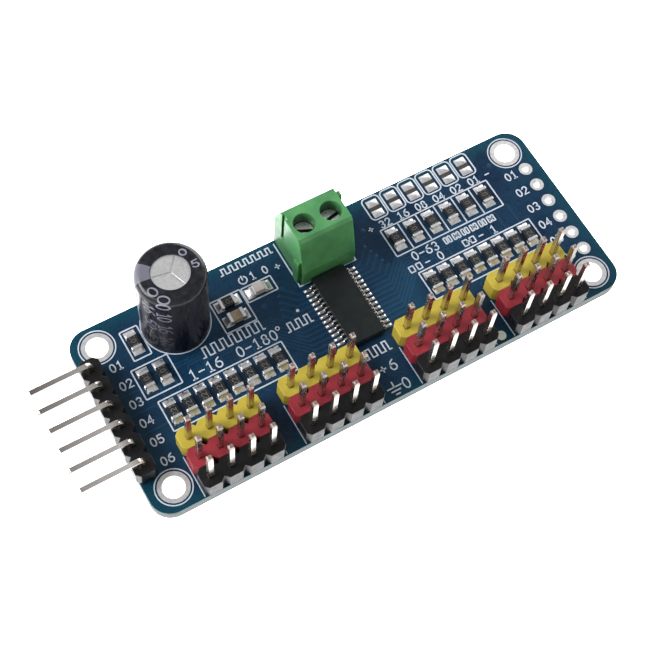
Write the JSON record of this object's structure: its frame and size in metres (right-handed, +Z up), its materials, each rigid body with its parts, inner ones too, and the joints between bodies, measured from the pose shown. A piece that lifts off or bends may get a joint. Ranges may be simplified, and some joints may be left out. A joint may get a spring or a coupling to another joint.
{
  "type": "servo driver board",
  "caption": "Small blue circuit board that drives hobby servos: coloured pin headers, screw terminal, driver chip, electrolytic capacitor and a side control header.",
  "frame": {"origin": "centre of the four mounting holes, on the underside of the board", "axes": "+X along the board towards the empty plated holes, +Y towards the edge with the screw terminal's wire entries, +Z up out of the component side"},
  "size_m": [0.0684, 0.0246, 0.0153],
  "materials": {
    "solder_mask": "glossy deep blue solder mask over glass-epoxy board, faint trace relief",
    "tinned_copper": "dull tinned copper, slightly uneven",
    "yellow_plastic": "moulded glass-filled nylon, satin",
    "red_plastic": "moulded glass-filled nylon, satin",
    "black_plastic": "moulded glass-filled nylon, satin",
    "pin_metal": "bright tin-plated brass pins",
    "solder": "bright solder with soft ripples",
    "green_plastic": "moulded polyamide, semi-gloss, slightly translucent",
    "plated_steel": "zinc-plated steel with tool marks",
    "can_aluminium": "satin drawn aluminium with stamped relief score",
    "sleeve_film": null,
    "bung_rubber": "black sealing rubber",
    "winding_paper": "rolled foil and paper, hidden inside the can",
    "chip_epoxy": null,
    "resistor_body": null,
    "capacitor_ceramic": "tan fired ceramic",
    "led_white": "white moulded reflector base",
    "led_resin": "clear resin with a yellowish phosphor tint"
  },
  "bodies": {
    "board": {"circuit_board": "solder_mask", "mounting_hole_rings": "tinned_copper", "spare_header_pads": "tinned_copper", "servo_1_signal_strip": "yellow_plastic", "servo_1_power_strip": "red_plastic", "servo_1_ground_strip": "black_plastic", "servo_2_signal_strip": "yellow_plastic", "servo_2_power_strip": "red_plastic", "servo_2_ground_strip": "black_plastic", "servo_3_signal_strip": "yellow_plastic", "servo_3_power_strip": "red_plastic", "servo_3_ground_strip": "black_plastic", "servo_4_signal_strip": "yellow_plastic", "servo_4_power_strip": "red_plastic", "servo_4_ground_strip": "black_plastic", "servo_1_pins": "pin_metal", "servo_2_pins": "pin_metal", "servo_3_pins": "pin_metal", "servo_4_pins": "pin_metal", "servo_1_solder": "solder", "servo_2_solder": "solder", "servo_3_solder": "solder", "servo_4_solder": "solder", "side_header_strip": "black_plastic", "side_header_pins": "pin_metal", "side_header_solder": "solder", "terminal_housing": "green_plastic", "terminal_contact_1": "tinned_copper", "terminal_contact_2": "tinned_copper", "terminal_solder": "solder", "capacitor_can": "can_aluminium", "capacitor_sleeve": "sleeve_film", "capacitor_bung": "bung_rubber", "capacitor_winding": "winding_paper", "capacitor_leads": "pin_metal", "capacitor_solder": "solder", "driver_chip_body": "chip_epoxy", "driver_chip_leads": "pin_metal", "output_resistors_left": "resistor_body", "output_resistor_caps_left": "solder", "output_resistors_right": "resistor_body", "output_resistor_caps_right": "solder", "address_resistors": "resistor_body", "address_resistor_caps": "solder", "single_resistors": "resistor_body", "single_resistor_caps": "solder", "ceramic_capacitor": "capacitor_ceramic", "ceramic_capacitor_caps": "solder", "power_led_base": "led_white", "power_led_lens": "led_resin", "power_led_caps": "solder", "address_jumper_pads": "tinned_copper"},
    "screw_1": {"terminal_screw_1": "plated_steel"},
    "screw_2": {"terminal_screw_2": "plated_steel"},
    "clamp_1": {"wire_clamp_1": "plated_steel"},
    "clamp_2": {"wire_clamp_2": "plated_steel"}
  },
  "joints": [
    {"name": "screw_1_turn", "type": "hinge", "parent": "board", "child": "screw_1", "pos_m": [-0.00165, 0.00865, 0.0072], "axis": [0, 0, -1], "range_deg": [0, 1265]},
    {"name": "clamp_1_rise", "type": "slide", "parent": "board", "child": "clamp_1", "axis": [0, 0, 1], "range_m": [0, 0.0014]},
    {"name": "screw_2_turn", "type": "hinge", "parent": "board", "child": "screw_2", "pos_m": [0.00185, 0.00865, 0.0072], "axis": [0, 0, -1], "range_deg": [0, 1265]},
    {"name": "clamp_2_rise", "type": "slide", "parent": "board", "child": "clamp_2", "axis": [0, 0, 1], "range_m": [0, 0.0014]}
  ],
  "couplings": [
    {"joint": "screw_1_turn", "follows": "clamp_1_rise", "rad_per_m": 15708},
    {"joint": "screw_2_turn", "follows": "clamp_2_rise", "rad_per_m": 15708}
  ]
}
